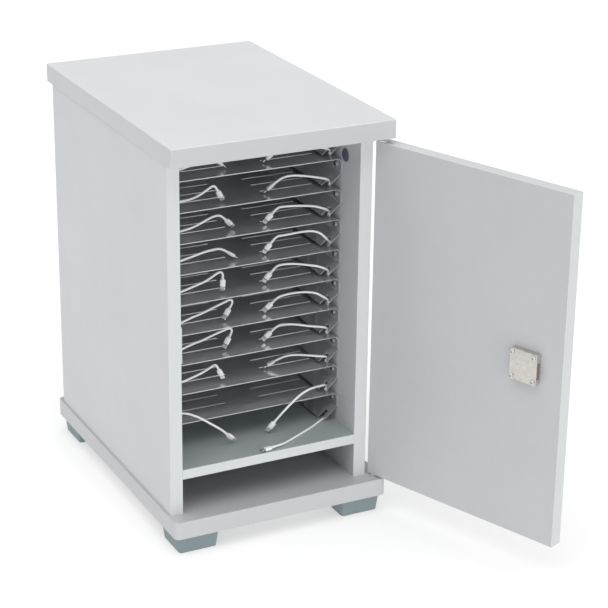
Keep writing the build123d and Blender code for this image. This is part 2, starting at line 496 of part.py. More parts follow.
# ---------------------------------------------------------------- leads
# Each route starts where the harness tube ends in the duct, comes out through
# the notch, arches over the front of the shelf and drops to its plug.
# Heights here are above the surface that the lead lies on.
S_R = [(113.5, -112.5, 1.7), (113.5, -121.5, 1.7), (111.5, -130.0, 5.2), (105.8, -135.4, 10.6)]
S_L = [(-131.5, -112.5, 1.7), (-131.5, -121.5, 1.7), (-129.5, -130.0, 5.2)]
ROUTES = {
    "right_01": S_R + [(98.4, -134.6, 13.4), (86.0, -132.6, 15.9), (72.6, -130.7, 18.5), (59.0, -128.6, 20.1), (46.6, -127.2, 19.7), (38.2, -125.9, 18.0), (31.3, -124.2, 13.3)],
    "right_02": S_R + [(99.4, -134.9, 13.7), (87.5, -133.2, 16.7), (73.2, -130.8, 19.6), (59.6, -128.9, 21.9), (48.2, -127.5, 22.0), (38.6, -126.7, 19.8), (32.0, -124.9, 14.5)],
    "right_03": S_R + [(97.6, -134.9, 14.9), (85.7, -133.4, 19.1), (68.5, -131.3, 21.6), (52.4, -129.6, 22.8), (41.9, -128.7, 23.3), (33.6, -128.5, 23.3), (28.7, -127.2, 17.8)],
    "right_04": S_R + [(101.0, -135.3, 16.0), (93.2, -134.8, 23.5), (82.0, -133.2, 27.4), (64.6, -131.2, 27.3), (50.0, -129.6, 26.0), (40.6, -128.9, 25.4), (31.9, -128.2, 25.5), (27.1, -126.9, 19.1)],
    "right_05": S_R + [(99.6, -135.2, 14.4), (90.4, -133.9, 18.2), (78.6, -132.1, 20.8), (64.0, -130.4, 24.2), (52.0, -128.9, 25.9), (42.2, -128.0, 26.2), (33.0, -127.2, 25.5), (28.0, -125.8, 19.1)],
    "right_06": S_R + [(99.0, -134.9, 15.5), (90.0, -133.7, 21.6), (79.0, -132.0, 24.3), (65.6, -130.1, 25.5), (52.0, -128.4, 25.0), (43.5, -127.4, 23.8), (35.9, -126.7, 22.3), (30.6, -125.4, 17.2)],
    "right_07": S_R + [(98.9, -134.7, 13.2), (86.2, -132.8, 15.4), (72.3, -130.7, 18.6), (58.2, -128.7, 22.1), (45.0, -127.1, 23.5), (35.8, -126.0, 23.1), (30.0, -124.5, 17.4)],
    "right_08": S_R + [(96.3, -133.8, 12.1), (83.4, -130.3, 14.3), (69.4, -126.9, 16.5), (57.0, -124.1, 17.5), (45.7, -121.8, 15.6), (38.0, -119.5, 11.6)],
    "left_01": S_L + [(-124.2, -134.9, 8.9), (-115.6, -133.4, 10.0), (-104.0, -131.2, 11.2), (-90.0, -129.4, 13.5), (-77.5, -127.6, 17.1), (-67.8, -126.1, 19.7), (-60.3, -124.9, 19.3), (-54.9, -123.9, 14.8)],
    "left_02": S_L + [(-123.8, -135.0, 9.8), (-115.3, -133.9, 11.0), (-105.0, -132.1, 10.3), (-91.2, -131.8, 11.3), (-78.6, -132.0, 15.9), (-68.6, -132.3, 21.7), (-62.2, -132.5, 25.3), (-58.5, -132.6, 24.2), (-56.7, -132.2, 20.9)],
    "left_03": S_L + [(-123.9, -134.9, 9.6), (-115.4, -133.8, 11.7), (-104.6, -131.7, 12.4), (-90.8, -130.1, 13.7), (-76.6, -128.2, 17.7), (-63.9, -126.6, 22.1), (-54.2, -125.2, 23.7), (-46.9, -124.2, 22.4), (-41.8, -123.4, 17.4)],
    "left_04": S_L + [(-123.7, -135.0, 10.3), (-115.1, -133.9, 12.9), (-104.3, -131.9, 14.7), (-90.4, -130.4, 16.6), (-77.2, -129.4, 19.1), (-64.2, -128.1, 20.6), (-53.2, -126.9, 20.6), (-45.2, -125.8, 18.2), (-39.6, -124.9, 14.1)],
    "left_05": S_L + [(-123.8, -135.0, 10.5), (-115.2, -133.9, 12.8), (-104.4, -131.8, 13.8), (-89.2, -131.1, 17.4), (-73.0, -130.4, 21.1), (-62.0, -130.1, 26.3), (-53.9, -130.0, 30.6), (-49.7, -129.9, 31.0), (-47.0, -129.9, 28.3), (-47.0, -129.8, 24.6)],
    "left_06": S_L + [(-123.8, -135.0, 10.0), (-115.4, -133.9, 11.9), (-105.0, -131.5, 12.5), (-92.1, -129.5, 15.7), (-77.4, -127.2, 17.7), (-63.6, -125.3, 20.8), (-51.0, -123.6, 24.1), (-40.6, -122.1, 26.1), (-33.4, -121.1, 28.2), (-29.5, -120.6, 26.8), (-28.8, -120.8, 22.6), (-31.4, -121.4, 19.3)],
    "left_07": S_L + [(-123.8, -135.0, 10.4), (-115.7, -133.9, 14.5), (-105.2, -131.5, 17.1), (-91.6, -129.4, 19.9), (-77.0, -127.3, 21.4), (-62.6, -125.3, 24.7), (-50.0, -123.6, 27.2), (-41.0, -122.2, 28.7), (-34.5, -121.3, 29.7), (-30.5, -120.8, 28.0), (-29.8, -121.1, 23.9), (-32.0, -121.6, 20.6)],
    "left_08": S_L + [(-123.8, -134.9, 9.7), (-115.8, -134.1, 11.7), (-106.0, -132.4, 12.0), (-93.0, -132.2, 15.4), (-79.4, -131.8, 18.9), (-67.6, -131.6, 24.1), (-61.2, -131.6, 27.5), (-57.3, -131.5, 26.2), (-55.7, -131.2, 22.8)],
    # the ninth pair hangs over the front of the lowest metal shelf onto the board
    "right_09": [(113.5, -112.5, 42.7), (113.5, -121.5, 42.7), (111.5, -130.0, 46.2), (105.8, -135.4, 51.5), (97.5, -138.2, 52.8), (86.6, -142.4, 54.6), (74.4, -146.2, 54.9), (62.6, -149.8, 52.9), (52.6, -152.0, 48.2), (43.9, -152.6, 41.9), (35.6, -152.5, 34.9), (28.2, -151.4, 27.0), (23.4, -149.6, 20.6)],
    "left_09": [(-131.5, -112.5, 42.7), (-131.5, -121.5, 42.7), (-129.5, -130.0, 46.2), (-124.0, -136.6, 51.8), (-116.5, -140.9, 54.3), (-107.6, -145.2, 54.4), (-97.0, -149.6, 50.6), (-86.4, -152.2, 44.2), (-76.2, -152.9, 36.2), (-68.0, -153.2, 30.2), (-60.4, -153.5, 24.3), (-54.7, -153.6, 18.7)],
    # the tenth pair lies on the board
    "right_10": [(113.5, -112.5, 1.7), (113.5, -121.5, 1.7), (110.9, -130.6, 2.0), (103.6, -137.0, 2.3), (92.3, -144.0, 2.2), (78.2, -153.4, 1.7), (61.3, -162.6, 1.6), (44.6, -171.4, 1.6), (29.2, -179.8, 1.6), (17.2, -186.3, 2.2), (7.6, -190.8, 3.7), (-0.4, -191.6, 3.4)],
    "left_10": [(-131.5, -112.5, 1.7), (-131.5, -121.5, 1.7), (-127.0, -130.6, 1.9), (-118.4, -135.4, 1.9), (-109.6, -131.4, 1.8), (-106.4, -122.2, 1.8), (-106.2, -112.6, 2.1), (-106.0, -103.2, 2.4)],
}
LEVEL_OF = {9: Z_LOW, 10: Z_LOW}
PLUGS = {"right": [], "left": []}


def corner_radii(pts):
    out = []
    for a, b, c in zip(pts, pts[1:], pts[2:]):
        u, v = Vector(*b) - Vector(*a), Vector(*c) - Vector(*b)
        turn = math.radians(u.get_angle(v))
        out.append(0.45 * min(u.length, v.length) / math.tan(turn / 2))
    return out


def phone_plug(p, d):
    """Moulded plug with a short strain relief and a flat metal tip. p is the
    end of the lead, d the unit vector along the plug."""
    p, d = Vector(*p), Vector(*d)
    if d.Z < -0.65:
        side = Vector(0.893, -0.450, 0)
        side = (side - d * side.dot(d)).normalized()
    else:
        side = Vector(-d.Y, d.X, 0).normalized()
    pl = Plane(origin=p, x_dir=side, z_dir=d)
    relief = loft([pl * Circle(LEAD_D / 2 + 0.15), pl.offset(5.0) * Circle(2.1)])
    body = extrude(pl.offset(5.0) * RectangleRounded(7.7, 4.6, 2.0), amount=9.5)
    tip = extrude(pl.offset(14.5) * RectangleRounded(6.7, 1.5, 0.7), amount=6.2)
    return relief + body + tip


for key, rel in ROUTES.items():
    side, num = key.split("_")
    n = int(num)
    zb = LEVEL_OF.get(n, LEVELS[n - 1])
    pts = [(x, y, zb + z) for x, y, z in rel]
    radii = corner_radii(pts)
    path = FilletPolyline(*pts, radius=radii)
    tube = sweep(Plane(path @ 0, z_dir=path % 0) * Circle(LEAD_D / 2), path=path)
    length = path.length
    print("lead_%s: length %.1f mm, volume/section*length %.4f, radii %s" % (
        key, length, tube.volume / (LEAD_SECTION * length), " ".join("%.1f" % r for r in radii)))
    put("lead_" + key, tube)
    d = (Vector(*pts[-1]) - Vector(*pts[-2])).normalized()
    PLUGS[side].append(phone_plug(pts[-1], d))
put("lead_plugs_right", *PLUGS["right"])
put("lead_plugs_left", *PLUGS["left"])

# ---------------------------------------------------------------- export
SHIFT = Pos(OX, OY, OZ)
lo = [1e9] * 3
hi = [-1e9] * 3
for name, solids in SHAPES.items():
    moved = [SHIFT * s for s in solids]
    flat = []
    for m in moved:
        flat += list(m.solids())
    node = flat[0] if len(flat) == 1 else Compound(children=flat)
    if not name.startswith("lead_"):
        b = node.bounding_box()
        for k, (a, c) in enumerate(((b.min.X, b.max.X), (b.min.Y, b.max.Y), (b.min.Z, b.max.Z))):
            lo[k] = min(lo[k], a)
            hi[k] = max(hi[k], c)
    export_step(node, "parts/%s.step" % name)
print("nodes", len(SHAPES))
print("box without leads", [round(v, 3) for v in lo], [round(v, 3) for v in hi])
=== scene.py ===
import bpy, bmesh, math
from mathutils import Vector, Matrix, Euler


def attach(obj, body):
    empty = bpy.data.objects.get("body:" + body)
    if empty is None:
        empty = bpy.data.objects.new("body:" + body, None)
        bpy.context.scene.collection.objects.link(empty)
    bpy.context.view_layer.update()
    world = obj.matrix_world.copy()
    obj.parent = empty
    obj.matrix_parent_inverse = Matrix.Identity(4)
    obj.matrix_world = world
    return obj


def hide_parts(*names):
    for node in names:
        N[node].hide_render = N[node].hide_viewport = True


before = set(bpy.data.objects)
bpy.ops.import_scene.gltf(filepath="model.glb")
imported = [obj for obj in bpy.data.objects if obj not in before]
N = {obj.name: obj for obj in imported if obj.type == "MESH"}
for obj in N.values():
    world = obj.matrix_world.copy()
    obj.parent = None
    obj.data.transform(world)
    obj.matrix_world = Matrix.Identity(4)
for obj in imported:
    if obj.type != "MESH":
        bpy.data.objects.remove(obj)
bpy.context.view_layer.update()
scene = bpy.context.scene
scene.view_settings.view_transform = "Standard"
scene.view_settings.look = "None"

# ---------------------------------------------------------------- camera
cam_data = bpy.data.cameras.new("camera")
cam_data.lens = 117.69
cam_data.sensor_width = 36.0
cam_data.clip_end = 120.0
cam = bpy.data.objects.new("camera", cam_data)
cam.location = (-1.11494, -2.21956, 1.29265)
cam.rotation_euler = Euler((math.radians(68.09), math.radians(-0.70), math.radians(-26.713)), "XYZ")
scene.collection.objects.link(cam)
scene.camera = cam


# ---------------------------------------------------------------- node helpers
def new_mat(name):
    m = bpy.data.materials.new(name)
    m.use_nodes = True
    nt = m.node_tree
    return m, nt, nt.nodes["Principled BSDF"]


def add(nt, kind, **props):
    n = nt.nodes.new(kind)
    for k, v in props.items():
        setattr(n, k, v)
    return n


def coords(nt, scale=(1, 1, 1), output="Object"):
    tc = add(nt, "ShaderNodeTexCoord")
    mp = add(nt, "ShaderNodeMapping")
    mp.inputs["Scale"].default_value = scale
    nt.links.new(tc.outputs[output], mp.inputs["Vector"])
    return mp.outputs["Vector"]


def noise(nt, vec, scale, detail=3.0, rough=0.5, distort=0.0):
    n = add(nt, "ShaderNodeTexNoise")
    n.inputs["Scale"].default_value = scale
    n.inputs["Detail"].default_value = detail
    n.inputs["Roughness"].default_value = rough
    n.inputs["Distortion"].default_value = distort
    nt.links.new(vec, n.inputs["Vector"])
    return n.outputs["Fac"]


def remap(nt, fac, a, b, c, d):
    n = add(nt, "ShaderNodeMapRange")
    n.inputs["From Min"].default_value = a
    n.inputs["From Max"].default_value = b
    n.inputs["To Min"].default_value = c
    n.inputs["To Max"].default_value = d
    nt.links.new(fac, n.inputs["Value"])
    return n.outputs["Result"]


def ramp(nt, fac, stops):
    n = add(nt, "ShaderNodeValToRGB")
    el = n.color_ramp.elements
    while len(el) < len(stops):
        el.new(0.5)
    for e, (p, c) in zip(el, stops):
        e.position = p
        e.color = (c[0], c[1], c[2], 1.0)
    nt.links.new(fac, n.inputs["Fac"])
    return n.outputs["Color"]


def mix(nt, fac, a, b, blend="MIX"):
    n = add(nt, "ShaderNodeMix", data_type="RGBA", blend_type=blend)
    for sock, v in ((n.inputs[0], fac), (n.inputs[6], a), (n.inputs[7], b)):
        if isinstance(v, (int, float)):
            sock.default_value = v
        elif isinstance(v, tuple):
            sock.default_value = (v[0], v[1], v[2], 1.0)
        else:
            nt.links.new(v, sock)
    return n.outputs[2]


def mathn(nt, op, a, b=None):
    n = add(nt, "ShaderNodeMath", operation=op)
    for i, v in enumerate((a, b)):
        if v is None:
            continue
        if isinstance(v, (int, float)):
            n.inputs[i].default_value = v
        else:
            nt.links.new(v, n.inputs[i])
    return n.outputs[0]


def bump(nt, bsdf, height, strength, distance):
    n = add(nt, "ShaderNodeBump")
    n.inputs["Strength"].default_value = strength
    n.inputs["Distance"].default_value = distance
    nt.links.new(height, n.inputs["Height"])
    nt.links.new(n.outputs["Normal"], bsdf.inputs["Normal"])


def normal_parts(nt):
    tc = add(nt, "ShaderNodeTexCoord")
    sp = add(nt, "ShaderNodeSeparateXYZ")
    nt.links.new(tc.outputs["Normal"], sp.inputs[0])
    return sp.outputs["X"], sp.outputs["Y"], sp.outputs["Z"]


def shade(c, k):
    return tuple(min(1.0, x * k) for x in c)


# ---------------------------------------------------------------- materials
def laminate(name, col, edge_axis=None, edge_col=None, rough=(0.36, 0.46), pebble=0.16):
    """Melamine-faced board: a fine pebble, slight cloudiness, and a thin
    glue line and light wear along every arris."""
    m, nt, b = new_mat(name)
    v = coords(nt)
    cloud = noise(nt, v, 7.0, 3.0, 0.55)
    c = ramp(nt, cloud, [(0.25, shade(col, 0.972)), (0.75, shade(col, 1.018))])
    speck = noise(nt, v, 420.0, 2.0, 0.6)
    c = mix(nt, remap(nt, speck, 0.35, 0.65, 0.0, 0.05), c, shade(col, 0.86))
    nx, ny, nz = normal_parts(nt)
    ax = mathn(nt, "ABSOLUTE", nx)
    ay = mathn(nt, "ABSOLUTE", ny)
    az = mathn(nt, "ABSOLUTE", nz)
    if edge_col is not None:
        if edge_axis == "top":
            e = remap(nt, az, 0.55, 0.75, 1.0, 0.0)
        elif edge_axis == "front":
            e = remap(nt, ay, 0.6, 0.8, 0.0, 1.0)
        else:
            e = edge_axis(nt, nx, ny, nz)
        c = mix(nt, e, c, edge_col)
    # arris: where the normal lies between two faces
    if edge_axis != "door":
        big = mathn(nt, "MAXIMUM", mathn(nt, "MAXIMUM", ax, ay), az)
        worn = noise(nt, v, 60.0, 4.0, 0.7)
        ar = mathn(nt, "MULTIPLY", remap(nt, big, 0.90, 0.985, 1.0, 0.0), remap(nt, worn, 0.3, 0.75, 0.25, 1.0))
        c = mix(nt, mathn(nt, "MULTIPLY", ar, 0.35), c, (0.62, 0.61, 0.59))
    nt.links.new(c, b.inputs["Base Color"])
    nt.links.new(remap(nt, noise(nt, v, 24.0, 4.0, 0.6), 0.3, 0.7, rough[0], rough[1]), b.inputs["Roughness"])
    b.inputs["IOR"].default_value = 1.48
    peb = noise(nt, v, 1500.0, 2.0, 0.5)
    bump(nt, b, peb, pebble, 0.00012)
    return m


def sheet_metal(name):
    """Dark semi-gloss coated sheet with a slight drag of the finish across it;
    the sheared edges are bare and bright."""
    m, nt, b = new_mat(name)
    v = coords(nt)
    vs = coords(nt, (30.0, 900.0, 900.0))
    streak = noise(nt, vs, 1.0, 3.0, 0.6)
    cloud = noise(nt, v, 18.0, 4.0, 0.6)
    c = ramp(nt, cloud, [(0.2, (0.66, 0.665, 0.70)), (0.8, (0.76, 0.765, 0.80))])
    c = mix(nt, remap(nt, streak, 0.3, 0.7, 0.0, 0.22), c, (0.80, 0.80, 0.82))
    nx, ny, nz = normal_parts(nt)
    cut = remap(nt, ny, -0.9, -0.6, 1.0, 0.0)
    worn = noise(nt, v, 240.0, 3.0, 0.6)
    cutc = ramp(nt, worn, [(0.3, (0.46, 0.47, 0.485)), (0.7, (0.64, 0.65, 0.665))])
    c = mix(nt, cut, c, cutc)
    nt.links.new(c, b.inputs["Base Color"])
    b.inputs["Metallic"].default_value = 0.66
    r = remap(nt, mathn(nt, "ADD", mathn(nt, "MULTIPLY", streak, 0.5), mathn(nt, "MULTIPLY", cloud, 0.5)), 0.3, 0.7, 0.09, 0.16)
    r = mathn(nt, "ADD", r, mathn(nt, "MULTIPLY", cut, 0.12))
    nt.links.new(r, b.inputs["Roughness"])
    bump(nt, b, streak, 0.06, 0.00005)
    return m


def metal(name, col, rough=(0.2, 0.34), grain=(1, 1, 1), grain_scale=500.0, bumps=0.05, stain=None):
    m, nt, b = new_mat(name)
    v = coords(nt)
    vg = coords(nt, grain)
    g = noise(nt, vg, grain_scale, 3.0, 0.6)
    cloud = noise(nt, v, 140.0, 4.0, 0.65)
    c = ramp(nt, cloud, [(0.25, shade(col, 0.86)), (0.75, shade(col, 1.08))])
    if stain:
        c = mix(nt, remap(nt, noise(nt, v, 320.0, 5.0, 0.7), 0.52, 0.72, 0.0, 0.5), c, stain)
    nt.links.new(c, b.inputs["Base Color"])
    b.inputs["Metallic"].default_value = 1.0
    nt.links.new(remap(nt, g, 0.3, 0.7, rough[0], rough[1]), b.inputs["Roughness"])
    bump(nt, b, g, bumps, 0.00006)
    return m


def plastic(name, col, rough=(0.38, 0.5), grain=900.0, strength=0.12, coat=0.0, cloudy=0.03, sss=0.0):
    m, nt, b = new_mat(name)
    v = coords(nt)
    cloud = noise(nt, v, 45.0, 3.0, 0.6)
    c = ramp(nt, cloud, [(0.2, shade(col, 1.0 - cloudy)), (0.8, shade(col, 1.0 + cloudy))])
    nt.links.new(c, b.inputs["Base Color"])
    g = noise(nt, v, grain, 2.0, 0.5)
    nt.links.new(remap(nt, mathn(nt, "ADD", mathn(nt, "MULTIPLY", g, 0.5), mathn(nt, "MULTIPLY", cloud, 0.5)), 0.3, 0.7, rough[0], rough[1]), b.inputs["Roughness"])
    b.inputs["Coat Weight"].default_value = coat
    b.inputs["Coat Roughness"].default_value = 0.12
    if sss:
        b.inputs["Subsurface Weight"].default_value = sss
        b.inputs["Subsurface Scale"].default_value = 0.0015
        b.inputs["Subsurface Radius"].default_value = (1.0, 0.8, 0.7)
    bump(nt, b, g, strength, 0.0001)
    return m


def wood(name):
    m, nt, b = new_mat(name)
    v = coords(nt, (1.0, 14.0, 14.0))
    n = noise(nt, v, 30.0, 5.0, 0.65, 0.4)
    c = ramp(nt, n, [(0.2, (0.42, 0.27, 0.14)), (0.55, (0.62, 0.44, 0.26)), (0.85, (0.74, 0.57, 0.37))])
    nt.links.new(c, b.inputs["Base Color"])
    nt.links.new(remap(nt, n, 0.2, 0.8, 0.5, 0.7), b.inputs["Roughness"])
    bump(nt, b, n, 0.3, 0.0002)
    return m


def door_edges(nt, nx, ny, nz):
    """1 on the four edge faces of the door, 0 on its two broad faces. The
    broad faces' normal at rest is +-(0.9336, 0.3584, 0)."""
    d = mathn(nt, "ADD", mathn(nt, "MULTIPLY", nx, 0.93358), mathn(nt, "MULTIPLY", ny, 0.35837))
    return remap(nt, mathn(nt, "ABSOLUTE", d), 0.6, 0.8, 1.0, 0.0)


# The cabinet is one white melamine board; each part below gets its own grey of it, as painted light and painted
# shade.
WHITE = (0.60, 0.615, 0.635)
# EDGE: front-facing edges painted lighter than the WHITE faces, painted light from the front.
EDGE = (0.655, 0.68, 0.685)
M = {}
# Top panel: upward face painted lighter (painted light from above), its edges painted darker (painted shade).
M["top"] = laminate("laminate_top", (0.74, 0.76, 0.775), "top", (0.565, 0.575, 0.585))
# Base: darker greys of the white board, painted shade; its upward face darkest.
M["base"] = laminate("laminate_base", (0.475, 0.478, 0.485), "top", (0.555, 0.56, 0.57))
M["side"] = laminate("laminate_side", WHITE, "front", EDGE)
M["back"] = laminate("laminate_back", WHITE, "top", WHITE)
# Lower shelf: the darkest, greener grey of the white board, painted shade inside the cabinet.
M["low"] = laminate("laminate_shelf", (0.375, 0.415, 0.42), "front", EDGE)
# Door: a darker grey of the white board, painted shade on the open door.
M["door"] = laminate("laminate_door", (0.535, 0.55, 0.57), door_edges, EDGE)
M["sheet"] = sheet_metal("shelf_sheet")
M["zinc"] = metal("zinc_plate", (0.70, 0.71, 0.72), (0.22, 0.36), stain=(0.55, 0.53, 0.48))
M["sscrew"] = metal("shelf_screw_zinc", (0.42, 0.46, 0.48), (0.2, 0.34), stain=(0.10, 0.14, 0.16))
M["strike"] = metal("strike_zinc", (0.66, 0.67, 0.68), (0.3, 0.42), (1, 8, 1))
M["nickel"] = metal("lock_satin_nickel", (0.66, 0.64, 0.595), (0.30, 0.42), (10, 10, 1), 260.0, 0.10, (0.34, 0.30, 0.25))
M["brass"] = metal("lock_worn_brass", (0.50, 0.41, 0.33), (0.26, 0.42), (1, 1, 10), 300.0, 0.10, (0.22, 0.15, 0.09))
M["cyl"] = metal("lock_cylinder_nickel", (0.68, 0.66, 0.62), (0.2, 0.32))
M["rosette"] = metal("rosette_bright_nickel", (0.78, 0.77, 0.75), (0.1, 0.2))
M["pin"] = metal("pin_turned_steel", (0.58, 0.58, 0.60), (0.2, 0.34), (1, 1, 14), 400.0, 0.12)
M["cam"] = metal("cam_diecast", (0.50, 0.51, 0.52), (0.35, 0.5))
M["foot"] = plastic("foot_moulding", (0.22, 0.28, 0.30), (0.42, 0.56), 700.0, 0.25, 0.0, 0.05)
M["bush"] = plastic("bush_acetal", (0.80, 0.80, 0.78), (0.3, 0.42))
M["cap"] = plastic("cap_moulding", (0.10, 0.12, 0.17), (0.35, 0.5))
M["hub"] = plastic("hub_abs", (0.028, 0.028, 0.031), (0.4, 0.55), 1100.0, 0.3)
M["inlet"] = plastic("inlet_moulding", (0.022, 0.022, 0.024), (0.3, 0.45), 1000.0, 0.15)
M["psu"] = plastic("psu_powder_coat", (0.045, 0.045, 0.05), (0.5, 0.65), 1300.0, 0.45)
M["wood"] = wood("dowel_beech")
M["jacket"] = plastic("lead_jacket", (0.91, 0.92, 0.93), (0.40, 0.52), 1500.0, 0.08, 0.0, 0.02, 0.12)
M["plug"] = plastic("plug_gloss_white", (0.91, 0.92, 0.93), (0.18, 0.28), 900.0, 0.03, 0.25, 0.015, 0.08)
M["tip"] = metal("plug_tip_steel", (0.72, 0.73, 0.75), (0.14, 0.26), (1, 1, 1), 800.0, 0.03)
M["gold"] = metal("plug_contact_pale", (0.70, 0.64, 0.53), (0.16, 0.28), (1, 1, 1), 900.0, 0.02)
M["inset"] = plastic("plug_tip_insulator", (0.55, 0.55, 0.55), (0.4, 0.5))


def assign(node, *mats):
    o = N[node]
    o.data.materials.clear()
    for m in mats:
        o.data.materials.append(m)


for node, key in {
    "top_panel": "top", "base_panel": "base", "left_side_panel": "side", "right_side_panel": "side",
    "back_panel": "back", "lower_shelf": "low", "door_panel": "door", "feet": "foot",
    "foot_screws": "zinc", "shelf_screws": "sscrew", "lock_screws": "zinc", "strike_screws": "zinc",
    "strike_plate": "strike", "lock_case": "nickel", "lock_bolt": "brass", "lock_cylinder": "cyl",
    "lock_rosette": "rosette", "pivot_pins": "pin", "pivot_bushes": "bush", "cam_caps": "cap",
    "cam_fittings": "cam", "wooden_dowels": "wood", "usb_hub_left": "hub", "usb_hub_right": "hub",
    "power_supply": "psu", "power_inlet": "inlet", "harness_left": "jacket", "harness_right": "jacket",
}.items():
    assign(node, M[key])
for i in range(1, 11):
    assign("charging_shelf_%02d" % i, M["sheet"])

